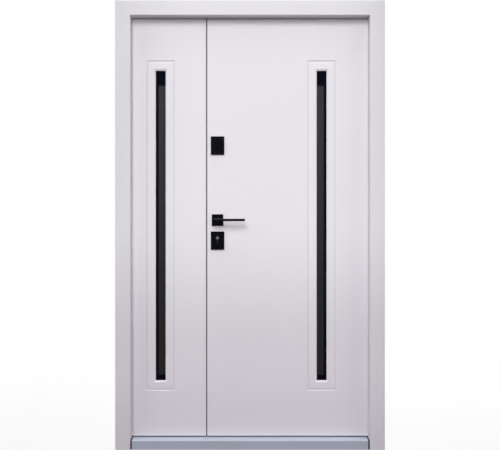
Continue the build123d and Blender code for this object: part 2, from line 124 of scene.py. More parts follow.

# The cylinder round its plug, as a shaded copy of the plug's nickel: painted shade on the cylinder, against a
# painted highlight on the plug
CYLINDER_SHADE_TINT = 0.1

# Softness of the edges of the black border of painted shade on the glass
SHADE_BORDER_EDGE = 0.0015

# Seals: the lip of a sweep as a share of its depth, the passive leaf's bead against the active leaf's,
# and how far the end seals lie below the threshold
SWEEP_LIP = 0.3
PASSIVE_REACH = 1 / 3
PASSIVE_DEPTH = 3
SEAL_LOWERING = 0.0005

# Driven heads: sides, the top's share of the radius, and the slot cutter's share of the height
HEAD_SIDES = 28
HEAD_TAPER = 0.82
CUTTER_HEIGHT = 1.4

# Slots as shares of the head's radius: length and width, and the length of the slot across it
SCREW_SLOT = {"Slot length": 1.1, "Slot width": 0.26, "Cross length": 1.1}
PLUG_SLOT = {"Slot length": 0.30, "Slot width": 0.30, "Cross length": 1.45}

# Screws of a hinge plate, as shares of its length from its middle and the side each is staggered to
HINGE_SCREWS = ((0.38, 1), (0.13, -1), (-0.13, 1), (-0.38, -1))
HINGE_STAGGER = HINGE_PLATE_WIDTH / 5

# Screws of a strip on a meeting edge, as shares of its height
STRIP_SCREWS = (0.04, 0.268, 0.56, 0.96)

# Stage: the light of all lamps, the floor's reach and its gap below the door, the screen's distance
LAMP_SHADE = (1.0, 0.99, 1.0)
WHITE = (1, 1, 1, 1)
FLOOR_REACH = 9
FLOOR_GAP = 0.0005
SCREEN_DISTANCE = 1.95


def colour(name, description, default):
    """A colour that a user may change."""
    return FloatVectorProperty(
        name=name, description=description, subtype="COLOR", size=4, min=0, max=1, default=(*default, 1),
    )


def length(name, description, default):
    """A length in metres that a user may change."""
    return FloatProperty(name=name, description=description, unit="LENGTH", min=0, default=default)


class DoorFinishSettings(bpy.types.PropertyGroup):
    """Colours of the door's finishes."""

    frame_white: colour("Frame paint", "Satin paint of the jambs and the head", (0.775, 0.765, 0.795))
    panel_white: colour("Leaf paint", "Satin paint of the leaf panels", (0.80, 0.785, 0.82))
    threshold_metal: colour("Threshold", "Brushed cover of the sill", (0.405, 0.450, 0.525))
    steel: colour("Steel", "Hinges and lock strips", (0.46, 0.46, 0.475))
    # The nickel's lightness on the plug is a painted highlight.
    nickel: colour("Nickel", "Plug of the lock cylinder", (0.15, 0.15, 0.155))
    black_coat: colour("Black coat", "Lever set and lock plates", (0.0028, 0.0021, 0.0032))
    rubber: colour("Rubber", "Seals, gaskets and spacers", (0.012, 0.012, 0.013))
    # The glass is painted lighter towards the top, a painted reflection.
    glass_reflection_top: colour("Glass, high", "Tint of the glass at its top", (0.026, 0.026, 0.032))
    glass_reflection_foot: colour("Glass, low", "Tint of the glass at its foot", (0.003, 0.0025, 0.0025))
    # The glass border is painted shade, standing for the unlit sides of the opening seen through the glass.
    glass_shade_border: colour("Glass border", "Black border of the glass", (0.0028, 0.0030, 0.0075))


class DoorDetailSettings(bpy.types.PropertyGroup):
    """Sizes of the small pieces."""

    screw_radius: length("Screw radius", "Radius of a screw head", 0.0042)
    screw_height: length("Screw height", "Height of a screw head", 0.0012)
    plug_radius: length("Plug radius", "Radius of the turning plug of the cylinder", 0.0064)
    plug_height: length("Plug height", "How far the plug stands out", 0.0008)
    gasket_width: length("Gasket width", "Width of the bead round the glass", 0.0022)
    gasket_height: length("Gasket height", "Height of the bead round the glass", 0.0018)
    seal_reach: length("Seal reach", "How far the active leaf's bead reaches into the meeting gap", 0.0037)
    seal_width: length("Seal width", "Width of the beads in the meeting gap", 0.006)
    seal_depth: length("Seal depth", "Depth of the active leaf's bead behind its face", 0.007)
    sweep_drop: length("Sweep drop", "How far the sweep hangs below a leaf", 0.0042)
    sweep_depth: length("Sweep depth", "Depth of the sweep below a leaf", 0.010)
    sweep_setback: length("Sweep setback", "How far the sweep stands behind the leaf's face", 0.0015)
    end_seal_setback: length("End seal setback", "How far the threshold's end seals stand back", 0.004)
    # The glass borders below are painted shade, standing for the unlit sides of the opening seen through the
    # glass.
    shade_border_top: length("Glass border, top", "Black border at the top of the outer pane", 0.069)
    shade_border_foot: length("Glass border, foot", "Black border at the foot of the outer pane", 0.025)
    shade_border_far: length("Glass border, far side", "Black border on the hinge side of the outer pane", 0.0125)
    shade_border_near: length("Glass border, near side", "Black border on the lock side of the outer pane", 0.001)
    shade_border_inner: length("Glass border, inside", "Black border all round the inner pane", 0.006)


class DoorStageSettings(bpy.types.PropertyGroup):
    """Camera and light."""

    camera_distance: length("Camera distance", "Distance from the frame's front to the camera", 3.28)
    view_width: length("View width", "Width of the view at the frame's front", 2.278)
    key_strength: FloatProperty(
        name="Key light", description="Strength of the soft light high in front", min=0, default=1.59,
    )
    fill_strength: FloatProperty(
        name="Fill light", description="Strength of the soft light low in front", min=0, default=0.72,
    )
    top_strength: FloatProperty(
        name="Top light", description="Strength of the soft light overhead", min=0, default=0.65,
    )
    side_strength: FloatProperty(
        name="Side lights", description="Strength of the soft lights at both sides", min=0, default=0.51,
    )
    back_power: FloatProperty(
        name="Back light", description="Power of the soft light inside", unit="POWER", min=0, default=165,
    )
    sky_strength: FloatProperty(
        name="Sky", description="Strength of the soft light all round", min=0, default=0.24,
    )


def feed(tree, socket, value):
    """Link a wire to a socket, or set the socket to a plain value."""
    if isinstance(value, Wire):
        tree.links.new(value.socket, socket)
    else:
        socket.default_value = value


class Wire:
    """A node's output that can stand in a Python expression."""

    def __init__(self, tree, socket):
        self.tree = tree
        self.socket = socket

    def math(self, operation, *values):
        """Add a Math node on these values."""
        node = self.tree.nodes.new("ShaderNodeMath")
        node.operation = operation
        for socket, value in zip(node.inputs, values):
            feed(self.tree, socket, value)
        return Wire(self.tree, node.outputs[0])

    def other(self, name):
        """Another output of the same node."""
        return Wire(self.tree, self.socket.node.outputs[name])

    def __add__(self, value):
        return self.math("ADD", self, value)

    __radd__ = __add__

    def __sub__(self, value):
        return self.math("SUBTRACT", self, value)

    def __rsub__(self, value):
        return self.math("SUBTRACT", value, self)

    def __mul__(self, value):
        return self.math("MULTIPLY", self, value)

    __rmul__ = __mul__

    def __abs__(self):
        return self.math("ABSOLUTE", self)

    def __gt__(self, value):
        return self.math("GREATER_THAN", self, value)

    def __lt__(self, value):
        return self.math("LESS_THAN", self, value)

    def __or__(self, value):
        return self.math("MAXIMUM", self, value)

    __ror__ = __or__


class Bench:
    """A node tree being built."""

    def __init__(self, tree):
        self.tree = tree
        tree.nodes.clear()

    def node(self, kind, settings=None, sockets=None, output=0):
        """Add a node, apply its settings, then set or link its sockets. Gives one output."""
        node = self.tree.nodes.new(kind)
        for name, value in (settings or {}).items():
            setattr(node, name, value)
        for name, value in (sockets or {}).items():
            feed(self.tree, node.inputs[name], value)
        return Wire(self.tree, node.outputs[output]) if node.outputs else None

    def place(self, scale=(1, 1, 1)):
        """Where a point is on the door, stretched by a scale along each axis."""
        point = self.node("ShaderNodeTexCoord", output="Object")
        return self.node("ShaderNodeMapping", None, {"Vector": point, "Scale": scale})

    def axes(self):
        """X, Y and Z of a point on the door."""
        x = self.node("ShaderNodeSeparateXYZ", None, {"Vector": self.place()})
        return x, x.other("Y"), x.other("Z")

    def noise(self, place, scale, detail=2):
        """Soft cloudy noise from 0 to 1."""
        return self.node("ShaderNodeTexNoise", None, {"Vector": place, "Scale": scale, "Detail": detail})

    def rise(self, value, low, high):
        """0 below low and 1 above high, with a smooth rise between them."""
        sockets = {"Value": value, "From Min": low, "From Max": high}
        return self.node("ShaderNodeMapRange", {"interpolation_type": "SMOOTHSTEP"}, sockets)

    def mix(self, factor, first, second):
        """A colour between two colours."""
        return self.node("ShaderNodeMix", {"data_type": "RGBA"}, {0: factor, 6: first, 7: second}, 2)

    def bump(self, height, strength, distance):
        """A bumped normal from a height."""
        sockets = {"Height": height, "Strength": strength, "Distance": distance}
        return self.node("ShaderNodeBump", None, sockets)

    def surface(self, sockets):
        """A Principled shader."""
        return self.node("ShaderNodeBsdfPrincipled", None, sockets)

    def end(self, shader):
        """Send a shader to the material's output."""
        self.node("ShaderNodeOutputMaterial", None, {"Surface": shader})


def start_material(name):
    """A new material and the bench for its nodes."""
    material = bpy.data.materials.new(f"{name}_finish")
    material.use_nodes = True
    return material, Bench(material.node_tree)


def tinted(shade, factor):
    """A colour made lighter or darker."""
    return (*[min(1, part * factor) for part in shade[:3]], 1)


def points_at_depth(node, depth):
    """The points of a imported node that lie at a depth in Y."""
    points = [point.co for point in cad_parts[node].data.vertices]
    return [point for point in points if abs(point.y - depth) < SAME_PLACE]


def groove_floor(leaf):
    """The lowest line of the groove round a leaf's glass: its middle and half its size."""
    node = f"{leaf}_outer_panel"
    points = points_at_depth(node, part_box(node)[0].y + GROOVE_DEPTH)
    low = Vector([min(point[axis] for point in points) for axis in range(3)])
    high = Vector([max(point[axis] for point in points) for axis in range(3)])
    return (low + high) / 2, (high - low) / 2


def painted_groove_shade(bench, middle, half):
    """How much painted shade a point gets: GROOVE_SHADE_SHARE on the line of a groove's floor, and 0 away
    from it.
    """
    x, _, z = bench.axes()
    beside = (abs(x - middle.x) - half.x) | (abs(z - middle.z) - half.z)
    return (1 - bench.rise(abs(beside), *GROOVE_SHADE_FADE)) * GROOVE_SHADE_SHARE


def satin_paint(name, shade, roughness, groove=None):
    """Sprayed satin paint: broad faint unevenness, a fine orange peel, and painted shade along a groove's
    floor.
    """
    material, bench = start_material(name)
    cloud = bench.noise(bench.place(), scale=1.7, detail=3)
    speck = bench.noise(bench.place(), scale=60, detail=2)
    peel = bench.noise(bench.place(), scale=380, detail=1)
    base = bench.mix(cloud * 0.7 + speck * 0.3, tinted(shade, 0.985), tinted(shade, 1.012))
    if groove is not None:
        # Painted shade: the paint is darkened along the groove's floor, where shade falls in the recess.
        base = bench.mix(painted_groove_shade(bench, *groove), base, tinted(shade, GROOVE_SHADE_TINT))
    bench.end(bench.surface({
        "Base Color": base,
        "Roughness": roughness + (cloud - 0.5) * 0.10 + (speck - 0.5) * 0.04,
        "IOR": 1.45,
        "Normal": bench.bump(peel, strength=0.06, distance=0.0004),
    }))
    return material


def brushed_metal(name, shade, roughness, scale, contrast, metallic=1, lit_top_height=None):
    """Metal with brush lines along the axis of the smallest scale, with painted light making it brighter
    above a given height.
    """
    material, bench = start_material(name)
    line = bench.noise(bench.place(scale), scale=1, detail=3)
    cloud = bench.noise(bench.place(), scale=9, detail=2)
    grain = line * 0.75 + cloud * 0.25
    base = bench.mix(grain, tinted(shade, 1 - contrast), tinted(shade, 1 + contrast))
    if lit_top_height is not None:
        _, _, height = bench.axes()
        lit_top_mask = bench.rise(height, lit_top_height + LIT_TOP_START, lit_top_height + LIT_TOP_END)
        bright = bench.mix(grain, tinted(shade, LIT_TOP_TINT - contrast), tinted(shade, LIT_TOP_TINT + contrast))
        # Painted light: the top face is made brighter than the front, as light from above falls on it.
        base = bench.mix(lit_top_mask, base, bright)
    bench.end(bench.surface({
        "Base Color": base,
        "Roughness": roughness + (line - 0.5) * 0.22,
        "Metallic": metallic,
        "Normal": bench.bump(line, strength=0.10, distance=0.0003),
    }))
    return material


def painted_highlight_band(bench, edge):
    """1 in the band of painted highlight on the lever, which begins at the height of an edge, and 0 outside
    it.
    """
    _, _, height = bench.axes()
    end = edge + LEVER_HIGHLIGHT_HEIGHT
    begins = bench.rise(height, edge - LEVER_HIGHLIGHT_EDGE, edge + LEVER_HIGHLIGHT_EDGE)
    ends = bench.rise(height, end + 0.5 * LEVER_HIGHLIGHT_EDGE, end + 1.5 * LEVER_HIGHLIGHT_EDGE)
    return begins - ends


def powder_coat(name, shade, edge=None):
    """Black coat with a fine grain, with a painted highlight in a grey band above the height of an edge."""
    material, bench = start_material(name)
    grain = bench.noise(bench.place(), scale=1500, detail=2)
    cloud = bench.noise(bench.place(), scale=30, detail=2)
    base = bench.mix(cloud, tinted(shade, 0.8), tinted(shade, 1.25))
    if edge is not None:
        # Painted highlight: a grey band where the lever's top edge catches the light.
        base = bench.mix(painted_highlight_band(bench, edge), base, LEVER_HIGHLIGHT_GREY)
    bench.end(bench.surface({
        "Base Color": base,
        "Roughness": 0.40 + (cloud - 0.5) * 0.10 + (grain - 0.5) * 0.10,
        "Specular IOR Level": 0.03,
        "Normal": bench.bump(grain, strength=0.12, distance=0.0002),
    }))
    return material


def rubber(name, shade):
    """Dull rubber or black plastic with faint bloom."""
    material, bench = start_material(name)
    bloom = bench.noise(bench.place(), scale=140, detail=3)
    bench.end(bench.surface({
        "Base Color": bench.mix(bloom, tinted(shade, 0.75), tinted(shade, 1.5)),
        "Roughness": 0.66 + (bloom - 0.5) * 0.2,
        "Specular IOR Level": 0.25,
        "Normal": bench.bump(bloom, strength=0.08, distance=0.0003),
    }))
    return material


def inside_shade_border(bench, gaps, widths, edges):
    """1 in the clear glass and 0 in its border of painted shade, from each side's distance, border width and
    softness.
    """
    sides = zip(gaps, widths, edges)
    first, *others = [bench.rise(gap, width - edge, width + edge) for gap, width, edge in sides]
    return math.prod(others, start=first)


def dark_glass(leaf, finish, detail):
    """Dark polished glass of a leaf, painted lighter towards the top as a painted reflection, with a black
    border of painted shade, wider at the top and on the hinge side.
    """
    material, bench = start_material(f"{leaf}_dark_glass")
    low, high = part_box(f"{leaf}_glass_panes")
    side = LEAF_SIDES[leaf]
    middle = (low + high) / 2
    half_width = (high.x - low.x) / 2 - PANE_BITE
    foot = low.z + PANE_BITE
    top = high.z - PANE_BITE
    x, y, z = bench.axes()
    across = (x - middle.x) * side
    gaps = (half_width - across, half_width + across, top - z, z - foot)
    outer_widths = (detail.shade_border_far, detail.shade_border_near, detail.shade_border_top, detail.shade_border_foot)
    outer_edges = (SHADE_BORDER_EDGE, SHADE_BORDER_EDGE, 2 * SHADE_BORDER_EDGE, SHADE_BORDER_EDGE)
    outer = inside_shade_border(bench, gaps, outer_widths, outer_edges)
    inner = inside_shade_border(bench, gaps, [detail.shade_border_inner] * 4, [SHADE_BORDER_EDGE] * 4)
    inner_pane = y > middle.y
    clear = outer * (1 - inner_pane) + inner * inner_pane
    wave = bench.noise(bench.place((14, 1, 3)), scale=1, detail=2)
    # Painted reflection: the glass's colour grows lighter towards the top.
    painted_reflection = bench.mix(bench.rise(z, foot, top), tuple(finish.glass_reflection_foot), tuple(finish.glass_reflection_top))
    glass = bench.surface({
        "Base Color": painted_reflection,
        "Roughness": 0.09 + wave * 0.05,
        "Specular IOR Level": 0.20,
        "Normal": bench.bump(wave, strength=0.04, distance=0.002),
    })
    # Painted shade: the black border stands for the unlit sides of the opening behind the glass.
    border = bench.surface({
        "Base Color": tuple(finish.glass_shade_border),
        "Roughness": 0.5,
        "Specular IOR Level": 0.01,
    })
    bench.end(bench.node("ShaderNodeMixShader", None, {0: clear, 1: border, 2: glass}))
    return material


def dress(names, material):
    """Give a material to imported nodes."""
    for name in names:
        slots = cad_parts[name].data.materials
        if len(slots):
            slots[0] = material
        else:
            slots.append(material)


def add_piece(name, mesh, material, body):
    """Link a finished mesh, give it its material and let it ride a body."""
    piece = bpy.data.objects.new(name, mesh)
    mesh.materials.append(material)
    bpy.context.scene.collection.objects.link(piece)
    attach(piece, body)
    return piece


def prism_mesh(name, section, axis, start, end):
    """A closed bar along axis 0, 1 or 2, with its section in the other two axes in their order."""
    build = bmesh.new()
    rings = []
    for place in (start, end):
        ring = []
        for first, second in section:
            point = [first, second]
            point.insert(axis, place)
            ring.append(build.verts.new(point))
        rings.append(ring)
    count = len(section)
    for index in range(count):
        after = (index + 1) % count
        build.faces.new((rings[0][index], rings[0][after], rings[1][after], rings[1][index]))
    for ring in rings:
        build.faces.new(ring)
    bmesh.ops.recalc_face_normals(build, faces=build.faces)
    mesh = bpy.data.meshes.new(name)
    build.to_mesh(mesh)
    build.free()
    return mesh


def bead_mesh(name, beads):
    """Mitred beads round rectangles. Each bead: corners, depth, direction out of the pane, section."""
    build = bmesh.new()
    for (left, foot, right, top), depth, out, section in beads:
        rings = []
        for inset, height in section:
            y = depth + out * height
            corners = (
                (left + inset, y, foot + inset), (right - inset, y, foot + inset),
                (right - inset, y, top - inset), (left + inset, y, top - inset),
            )
            rings.append([build.verts.new(corner) for corner in corners])
        for ring, after in zip(rings, rings[1:] + rings[:1]):
            for index in range(4):
                turn = (index + 1) % 4
                build.faces.new((ring[index], ring[turn], after[turn], after[index]))
    bmesh.ops.recalc_face_normals(build, faces=build.faces)
    mesh = bpy.data.meshes.new(name)
    build.to_mesh(mesh)
    build.free()
    return mesh


def driven_head_tree():
    """Geometry Nodes that put a slotted or crossed head on each point, turned to the point's facing."""
    tree = bpy.data.node_groups.new("Driven heads", "GeometryNodeTree")
    tree.interface.new_socket("Geometry", in_out="INPUT", socket_type="NodeSocketGeometry")
    for name in ("Radius", "Height", "Slot length", "Slot width", "Cross length"):
        tree.interface.new_socket(name, in_out="INPUT", socket_type="NodeSocketFloat")
    tree.interface.new_socket("Metal", in_out="INPUT", socket_type="NodeSocketMaterial")
    tree.interface.new_socket("Geometry", in_out="OUTPUT", socket_type="NodeSocketGeometry")
    bench = Bench(tree)
    points = bench.node("NodeGroupInput", output="Geometry")
    radius = points.other("Radius")
    height = points.other("Height")
    head = bench.node("GeometryNodeMeshCone", None, {
        "Vertices": HEAD_SIDES, "Radius Top": radius * HEAD_TAPER, "Radius Bottom": radius, "Depth": height,
    })
    slot_length = points.other("Slot length")
    slot_width = points.other("Slot width")
    lift = bench.node("ShaderNodeCombineXYZ", None, {"Z": height})
    deep = height * CUTTER_HEIGHT
    for across, along in ((slot_length, slot_width), (slot_width, points.other("Cross length"))):
        size = bench.node("ShaderNodeCombineXYZ", None, {"X": across, "Y": along, "Z": deep})
        block = bench.node("GeometryNodeMeshCube", None, {"Size": size})
        cutter = bench.node("GeometryNodeTransform", None, {"Geometry": block, "Translation": lift})
        sockets = {"Mesh 1": head, "Mesh 2": cutter}
        head = bench.node("GeometryNodeMeshBoolean", {"operation": "DIFFERENCE", "solver": "EXACT"}, sockets)
    facing = bench.node("GeometryNodeInputNamedAttribute", {"data_type": "FLOAT_VECTOR"}, {"Name": "facing"})
    turn = bench.node("FunctionNodeAlignRotationToVector", {"axis": "Z"}, {"Vector": facing})
    sockets = {"Points": points, "Instance": head, "Rotation": turn}
    heads = bench.node("GeometryNodeInstanceOnPoints", None, sockets)
    real = bench.node("GeometryNodeRealizeInstances", None, {"Geometry": heads})
    made = bench.node("GeometryNodeSetMaterial", None, {"Geometry": real, "Material": points.other("Metal")})
    bench.node("NodeGroupOutput", None, {"Geometry": made})
    return tree


def driven_heads(name, places, inputs, body):
    """Heads at places, each a point and the way it faces, as one plain mesh."""
    tree = bpy.data.node_groups.get("Driven heads") or driven_head_tree()
    mesh = bpy.data.meshes.new(f"{name}_points")
    mesh.from_pydata([point for point, _ in places], [], [])
    facing = mesh.attributes.new("facing", "FLOAT_VECTOR", "POINT")
    for item, (_, way) in zip(facing.data, places):
        item.vector = way
    holder = bpy.data.objects.new(f"{name}_holder", mesh)
    modifier = holder.modifiers.new("Heads", "NODES")
    modifier.node_group = tree
    for socket in tree.interface.items_tree:
        if socket.name in inputs:
            modifier[socket.identifier] = inputs[socket.name]
    bpy.context.scene.collection.objects.link(holder)
    graph = bpy.context.evaluated_depsgraph_get()
    plain = bpy.data.meshes.new_from_object(holder.evaluated_get(graph))
    plain.name = name
    holder.modifiers.remove(modifier)
    bpy.data.objects.remove(holder)
    plain.materials.clear()
    plain.polygons.foreach_set("material_index", [0] * len(plain.polygons))
    plain.shade_flat()
    return add_piece(name, plain, inputs["Metal"], body)


def material_named(name):
    """A material that an earlier operator made."""
    return bpy.data.materials[f"{name}_finish"]


class DOOR_OT_paint(bpy.types.Operator):
    """Paint the frame, the leaf panels and the leaf edges"""

    bl_idname = "door.paint"
    bl_label = "Paint frame and leaves"

    def execute(self, context):
        finish = context.scene.door_finish
        dress(FRAME_NODES, satin_paint("frame_white", finish.frame_white, roughness=0.40))
        for leaf in LEAF_SIDES:
            # Each leaf's paint carries painted shade along the floor of the groove round its glass.
            groove = groove_floor(leaf)
            paint = satin_paint(f"{leaf}_panel_white", finish.panel_white, roughness=0.42, groove=groove)
            dress((f"{leaf}_outer_panel", f"{leaf}_inner_panel"), paint)
        edge_white = tinted(finish.panel_white, 0.97)
        dress(CORE_NODES, satin_paint("leaf_edge_white", edge_white, roughness=0.46))
        return {"FINISHED"}


class DOOR_OT_metal(bpy.types.Operator):
    """Finish the threshold, the hinges, the lock strips and the black hardware"""

    bl_idname = "door.metal"
    bl_label = "Finish metal"

    def execute(self, context):
        finish = context.scene.door_finish
        self.finish_threshold(finish)
        self.finish_steel(finish)
        self.finish_cylinder(finish)
        self.coat_hardware(finish)
        return {"FINISHED"}

    def finish_threshold(self, finish):
        """The threshold's cover, with painted light making its top brighter."""
        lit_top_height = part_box("threshold_plate")[1].z - THRESHOLD_FALL
        metal = brushed_metal(
            "threshold_metal", finish.threshold_metal, roughness=0.36, scale=BRUSHED_LENGTHWAYS,
            contrast=0.10, metallic=0.25, lit_top_height=lit_top_height,
        )
        dress(("threshold_plate",), metal)

    def finish_steel(self, finish):
        """The hinges, and the smoother strips and bolts of the lock."""
        dress(HINGE_NODES, brushed_metal(
            "hinge_metal", finish.steel, roughness=0.38, scale=BRUSHED_UPRIGHT, contrast=0.06,
        ))
        dress(STEEL_NODES, brushed_metal(
            "lock_steel", finish.steel, roughness=0.30, scale=BRUSHED_UPRIGHT, contrast=0.08,
        ))

    def finish_cylinder(self, finish):
        """The cylinder, painted as a shaded copy of the nickel, and its plugs, whose lighter nickel is a
        painted highlight.
        """
        # Lit and shaded copies of one nickel: painted highlight on the plugs, painted shade on the cylinder.
        shaded_nickel = tinted(finish.nickel, CYLINDER_SHADE_TINT)
        dress(("lock_cylinder",), brushed_metal(
            "cylinder_nickel", shaded_nickel, roughness=0.58, scale=BRUSHED_EVENLY, contrast=0.05,
        ))
        brushed_metal("plug_lit_nickel", finish.nickel, roughness=0.5, scale=BRUSHED_EVENLY, contrast=0.05)

    def coat_hardware(self, finish):
        """The lock plates and roses, and the levers, which have a painted highlight along their top."""
        dress(BLACK_NODES, powder_coat("hardware_black", finish.black_coat))
        low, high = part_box("outer_lever")
        edge = (low.z + high.z + LEVER_THICKNESS) / 2 - LEVER_HIGHLIGHT_HEIGHT
        dress(LEVER_NODES, powder_coat("lever_black", finish.black_coat, edge))


def gasket_section(width, height):
    """Section of a gasket as insets and heights: upright at the leaf, and sloping down to the glass."""
    return [(0, 0), (0, height), (0.35 * width, height), (0.8 * width, 0.6 * height), (width, 0)]


class DOOR_OT_glazing(bpy.types.Operator):
    """Glaze the leaves and lay the gaskets round the glass"""

    bl_idname = "door.glazing"
    bl_label = "Glaze the leaves"

    def execute(self, context):
        finish = context.scene.door_finish
        detail = context.scene.door_detail
        black = rubber("glazing_rubber", tinted(finish.rubber, 0.35))
        dress(SPACER_NODES, black)
        section = gasket_section(detail.gasket_width, detail.gasket_height)
        for leaf in LEAF_SIDES:
            node = f"{leaf}_glass_panes"
            dress((node,), dark_glass(leaf, finish, detail))
            low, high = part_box(node)
            corners = (low.x + PANE_BITE, low.z + PANE_BITE, high.x - PANE_BITE, high.z - PANE_BITE)
            beads = [(corners, low.y, -1, section), (corners, high.y, 1, section)]
            mesh = bead_mesh(f"{leaf}_glazing_gaskets", beads)
            add_piece(mesh.name, mesh, black, f"{leaf}_leaf")
        return {"FINISHED"}


def bead_section(edge, depth, reach, width):
    """Section of a rounded bead in X and Y: its foot sunk in the leaf, its nose at the edge plus reach."""
    turns = [math.radians(degrees) for degrees in range(-90, 91, 18)]
    nose = [
        (edge + reach * (0.5 + 0.5 * math.cos(turn)), depth + width / 2 * math.sin(turn)) for turn in turns
    ]
    foot = edge - reach / 2
    return [(foot, depth - width / 2), *nose, (foot, depth + width / 2)]


class DOOR_OT_seals(bpy.types.Operator):
    """Finish the stop seals and the sill, and add the meeting seals, the sweeps and the end seals"""

    bl_idname = "door.seals"
    bl_label = "Fit the seals"

    def execute(self, context):
        detail = context.scene.door_detail
        finish = context.scene.door_finish
        black = rubber("seal_rubber", finish.rubber)
        dress(SEAL_NODES, black)
        dress(("frame_sill",), rubber("sill_black", finish.rubber))
        for leaf, side in LEAF_SIDES.items():
            self.add_seal(self.meeting_seal(leaf, side, detail), black, f"{leaf}_leaf")
        for leaf, side in LEAF_SIDES.items():
            self.add_seal(self.sweep(leaf, side, detail), black, f"{leaf}_leaf")
        for hand in ("left", "right"):
            self.add_seal(self.threshold_end_seal(hand, detail), black, "frame")
        return {"FINISHED"}

    def add_seal(self, mesh, black, body):
        """Fit a seal, named as its mesh, to a body."""
        add_piece(mesh.name, mesh, black, body)

    def meeting_seal(self, leaf, side, detail):
        """The bead on a leaf's meeting edge. The passive leaf's is flatter and lies deeper in the gap."""
        low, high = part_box(f"{leaf}_outer_panel")
        edge = low.x if side > 0 else high.x
        reach = detail.seal_reach
        depth = detail.seal_depth
        if leaf == "passive":
            reach *= PASSIVE_REACH
            depth *= PASSIVE_DEPTH
        section = bead_section(edge, low.y + depth, -side * reach, detail.seal_width)
        return prism_mesh(f"{leaf}_meeting_seal", section, 2, low.z - detail.sweep_drop, high.z)

    def sweep(self, leaf, side, detail):
        """The strip below a leaf, from its meeting edge to just short of its hinge side."""
        low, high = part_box(f"{leaf}_core")
        lip = SWEEP_LIP * detail.sweep_depth
        start = low.x if side > 0 else low.x + lip
        end = high.x - lip if side > 0 else high.x
        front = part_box(f"{leaf}_outer_panel")[0].y + detail.sweep_setback
        foot = low.z - detail.sweep_drop
        section = [
            (front, low.z), (front + lip, foot), (front + 2 * lip, foot), (front + detail.sweep_depth, low.z),
        ]
        return prism_mesh(f"{leaf}_sweep", section, 0, start, end)

    def threshold_end_seal(self, hand, detail):
        """The block between an end of the threshold and the jamb, on the sill."""
        low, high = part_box("threshold_plate")
        jamb_low, jamb_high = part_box(f"{hand}_jamb")
        start, end = (low.x, jamb_high.x) if hand == "left" else (high.x, jamb_low.x)
        front = low.y + detail.end_seal_setback
        back = high.y - detail.end_seal_setback
        top = high.z - SEAL_LOWERING
        section = [(front, SILL_HEIGHT), (back, SILL_HEIGHT), (back, top), (front, top - THRESHOLD_FALL)]
        return prism_mesh(f"{hand}_threshold_end_seal", section, 0, start, end)


def hinge_screw_places(node, away):
    """Four screws on each plate of a hinge half, staggered. Away is the plate's side of the pin."""
    low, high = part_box(node)
    outer = high.x if away > 0 else low.x
    middle = outer - away * HINGE_PLATE_WIDTH / 2
    heights = [low.z + HINGE_LENGTH / 2, (low.z + high.z) / 2, high.z - HINGE_LENGTH / 2]
    return [
        ((middle + sideways * HINGE_STAGGER, HINGE_PLATE_BACK, height + share * HINGE_LENGTH), (0, 1, 0))
        for height in heights
        for share, sideways in HINGE_SCREWS
    ]


def edge_screw_places(node, side):
    """Screws of a strip on a meeting edge, at its ends and between its bolts."""
    low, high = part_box(node)
    pick = min if side > 0 else max
    front = pick(point.x for point in points_at_depth(node, low.y))
    back = pick(point.x for point in points_at_depth(node, high.y))
    x = (front + back) / 2
    y = (low.y + high.y) / 2
    facing = Vector((-side * (high.y - low.y), side * (back - front), 0)).normalized()
    tall = high.z - low.z
    return [((x, y, low.z + share * tall), facing) for share in STRIP_SCREWS]


def head_inputs(radius, height, slot, metal):
    """Inputs of the driven heads, with the slot's shares of the radius turned into lengths."""
    lengths = {name: share * radius for name, share in slot.items()}
    return {"Radius": radius, "Height": height, **lengths, "Metal": metal}


class DOOR_OT_screws(bpy.types.Operator):
    """Drive the screws of the hinges and the lock strips, and set the plugs of the cylinder"""

    bl_idname = "door.screws"
    bl_label = "Drive the screws"

    def execute(self, context):
        detail = context.scene.door_detail
        self.drive_screws(detail)
        self.set_plugs(detail)
        return {"FINISHED"}

    def drive_screws(self, detail):
        """Screws of the frame, and of each leaf with its lock strip."""
        screw = head_inputs(
            detail.screw_radius, detail.screw_height, SCREW_SLOT, material_named("hinge_metal"),
        )
        frame_places = []
        for leaf, side in LEAF_SIDES.items():
            hand = HINGE_HANDS[leaf]
            frame_places += hinge_screw_places(f"{hand}_frame_hinges", side)
            places = hinge_screw_places(f"{hand}_leaf_hinges", -side)
            places += edge_screw_places(LOCK_STRIPS[leaf], side)
            driven_heads(f"{leaf}_screws", places, screw, f"{leaf}_leaf")
        driven_heads("frame_screws", frame_places, screw, "frame")

    def set_plugs(self, detail):
        """The turning plugs at both ends of the cylinder, with an upright keyway."""
        plug = head_inputs(
            detail.plug_radius, detail.plug_height, PLUG_SLOT, material_named("plug_lit_nickel"),
        )
        low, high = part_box("lock_cylinder")
        x = (low.x + high.x) / 2
        z = high.z - (high.x - low.x) / 2
        places = [((x, low.y, z), (0, -1, 0)), ((x, high.y, z), (0, 1, 0))]
        driven_heads("cylinder_plugs", places, plug, "active_leaf")


def soft_lamp(name, place, target, size, power):
    """A soft rectangular lamp that points at a target."""
    lamp = bpy.data.lights.new(name, "AREA")
    lamp.shape = "RECTANGLE"
    lamp.size, lamp.size_y = size
    lamp.energy = power
    lamp.color = LAMP_SHADE
    holder = bpy.data.objects.new(name, lamp)
    holder.location = place
    holder.rotation_euler = (Vector(target) - Vector(place)).to_track_quat("-Z", "Y").to_euler()
    bpy.context.scene.collection.objects.link(holder)
    return holder


def far_lamp(name, height, left, spread, strength):
    """A soft far lamp in front. Its height, its place to the left and its spread are in degrees."""
    lamp = bpy.data.lights.new(name, "SUN")
    lamp.angle = math.radians(spread)
    lamp.energy = strength
    lamp.color = LAMP_SHADE
    holder = bpy.data.objects.new(name, lamp)
    holder.rotation_euler = (math.radians(90 - height), 0, math.radians(-left))
    bpy.context.scene.collection.objects.link(holder)
    return holder


